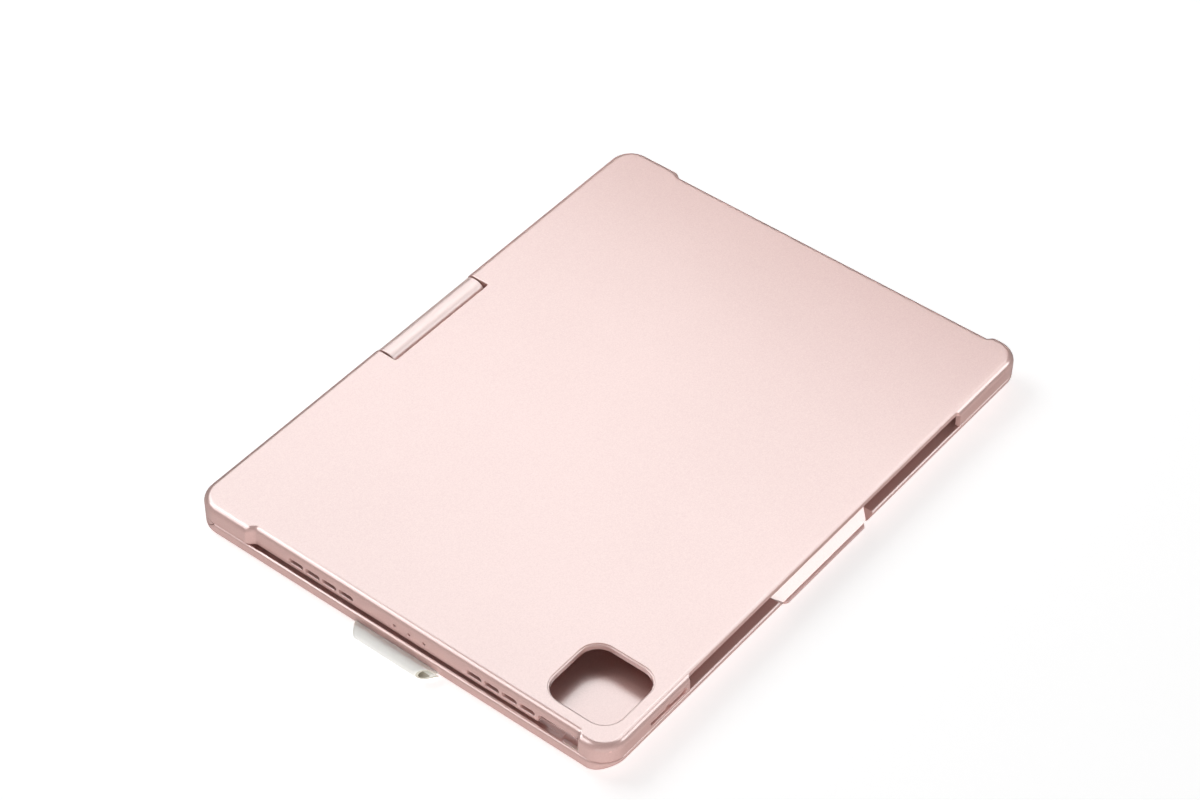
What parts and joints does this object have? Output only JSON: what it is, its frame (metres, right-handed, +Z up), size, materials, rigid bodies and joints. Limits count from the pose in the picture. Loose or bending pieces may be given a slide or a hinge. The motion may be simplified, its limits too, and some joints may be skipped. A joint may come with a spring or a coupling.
{
  "type": "tablet keyboard case",
  "caption": "Slim clamshell keyboard case for a tablet: lid with camera window, side cut-outs and volume buttons; hinged base with keys, touchpad and a soft stylus loop.",
  "frame": {"origin": "middle of the whole closed case, loop included, on the plane that its feet stand on", "axes": "+X along the hinge, towards the side without the stylus loop; +Y towards the hinge; +Z up"},
  "size_m": [0.2622, 0.194, 0.0154],
  "materials": {
    "shell": "satin rose-coloured metallic paint",
    "steel": "satin",
    "rubber": "matt",
    "soft_clear": "translucent, satin",
    "bush": "satin",
    "film": "matt",
    "dome": "matt",
    "battery": "foil",
    "board": "satin",
    "ribbon": "satin",
    "light_pipe": "clear",
    "magnet": "plated",
    "touchpad": "satin",
    "dark_plastic": "matt",
    "keycap": "fine matt"
  },
  "bodies": {
    "base": {"base_frame": "shell", "deck_plate": "shell", "base_bottom_plate": "shell", "bottom_screws": "steel", "rubber_feet": "rubber", "lid_bumpers": "rubber", "stylus_loop": "soft_clear", "hinge_knuckle": "shell", "knuckle_screws": "steel", "friction_bush_left": "bush", "friction_bush_right": "bush", "key_backplate": "steel", "membrane_circuit": "film", "dome_sheet": "dome", "backlight_film": "film", "battery_cells": "battery", "control_board": "board", "keyboard_ribbon": "ribbon", "touchpad_cable": "ribbon", "usb_c_socket": "steel", "indicator_light_pipes": "light_pipe", "wake_magnet": "magnet"},
    "lid": {"lid_shell": "shell", "lid_barrel_cover_left": "shell", "lid_barrel_cover_right": "shell", "hinge_bracket_left": "steel", "hinge_bracket_right": "steel", "hinge_shaft_left": "steel", "hinge_shaft_right": "steel", "hinge_screws": "steel"},
    "volume_up": {"volume_up_button": "shell"},
    "volume_down": {"volume_down_button": "shell"},
    "touchpad": {"touchpad": "touchpad", "touchpad_board": "board"},
    "power_switch": {"power_switch": "dark_plastic"},
    "function_keys": {"function_keys": "keycap"},
    "number_row_keys": {"number_row_keys": "keycap"},
    "top_letter_keys": {"top_letter_keys": "keycap"},
    "home_letter_keys": {"home_letter_keys": "keycap"},
    "lower_letter_keys": {"lower_letter_keys": "keycap"},
    "modifier_keys": {"modifier_keys": "keycap"},
    "space_bar": {"space_bar": "keycap"},
    "arrow_keys": {"arrow_keys": "keycap"}
  },
  "joints": [
    {"name": "lid_hinge", "type": "hinge", "parent": "base", "child": "lid", "pos_m": [0.0031, 0.0921, 0.0105], "axis": [-1, 0, 0], "range_deg": [0, 135]},
    {"name": "volume_up_press", "type": "slide", "parent": "lid", "child": "volume_up", "axis": [0, 1, 0], "range_m": [0, 0.0005], "stiffness_N_per_m": 400, "springref_m": -0.001},
    {"name": "volume_down_press", "type": "slide", "parent": "lid", "child": "volume_down", "axis": [0, 1, 0], "range_m": [0, 0.0005], "stiffness_N_per_m": 400, "springref_m": -0.001},
    {"name": "touchpad_click", "type": "slide", "parent": "base", "child": "touchpad", "axis": [0, 0, -1], "range_m": [0, 0.00025], "stiffness_N_per_m": 3000, "springref_m": -0.0005},
    {"name": "power_switch_slide", "type": "slide", "parent": "base", "child": "power_switch", "axis": [0, 1, 0], "range_m": [0, 0.0025]},
    {"name": "function_keys_press", "type": "slide", "parent": "base", "child": "function_keys", "axis": [0, 0, -1], "range_m": [0, 0.0009], "stiffness_N_per_m": 1500, "springref_m": -0.001},
    {"name": "number_row_keys_press", "type": "slide", "parent": "base", "child": "number_row_keys", "axis": [0, 0, -1], "range_m": [0, 0.0009], "stiffness_N_per_m": 1500, "springref_m": -0.001},
    {"name": "top_letter_keys_press", "type": "slide", "parent": "base", "child": "top_letter_keys", "axis": [0, 0, -1], "range_m": [0, 0.0009], "stiffness_N_per_m": 1500, "springref_m": -0.001},
    {"name": "home_letter_keys_press", "type": "slide", "parent": "base", "child": "home_letter_keys", "axis": [0, 0, -1], "range_m": [0, 0.0009], "stiffness_N_per_m": 1500, "springref_m": -0.001, "deforming": ["dome_sheet"]},
    {"name": "lower_letter_keys_press", "type": "slide", "parent": "base", "child": "lower_letter_keys", "axis": [0, 0, -1], "range_m": [0, 0.0009], "stiffness_N_per_m": 1500, "springref_m": -0.001},
    {"name": "modifier_keys_press", "type": "slide", "parent": "base", "child": "modifier_keys", "axis": [0, 0, -1], "range_m": [0, 0.0009], "stiffness_N_per_m": 1000, "springref_m": -0.001},
    {"name": "space_bar_press", "type": "slide", "parent": "base", "child": "space_bar", "axis": [0, 0, -1], "range_m": [0, 0.0009], "stiffness_N_per_m": 400, "springref_m": -0.001},
    {"name": "arrow_keys_press", "type": "slide", "parent": "base", "child": "arrow_keys", "axis": [0, 0, -1], "range_m": [0, 0.0009], "stiffness_N_per_m": 800, "springref_m": -0.001}
  ]
}
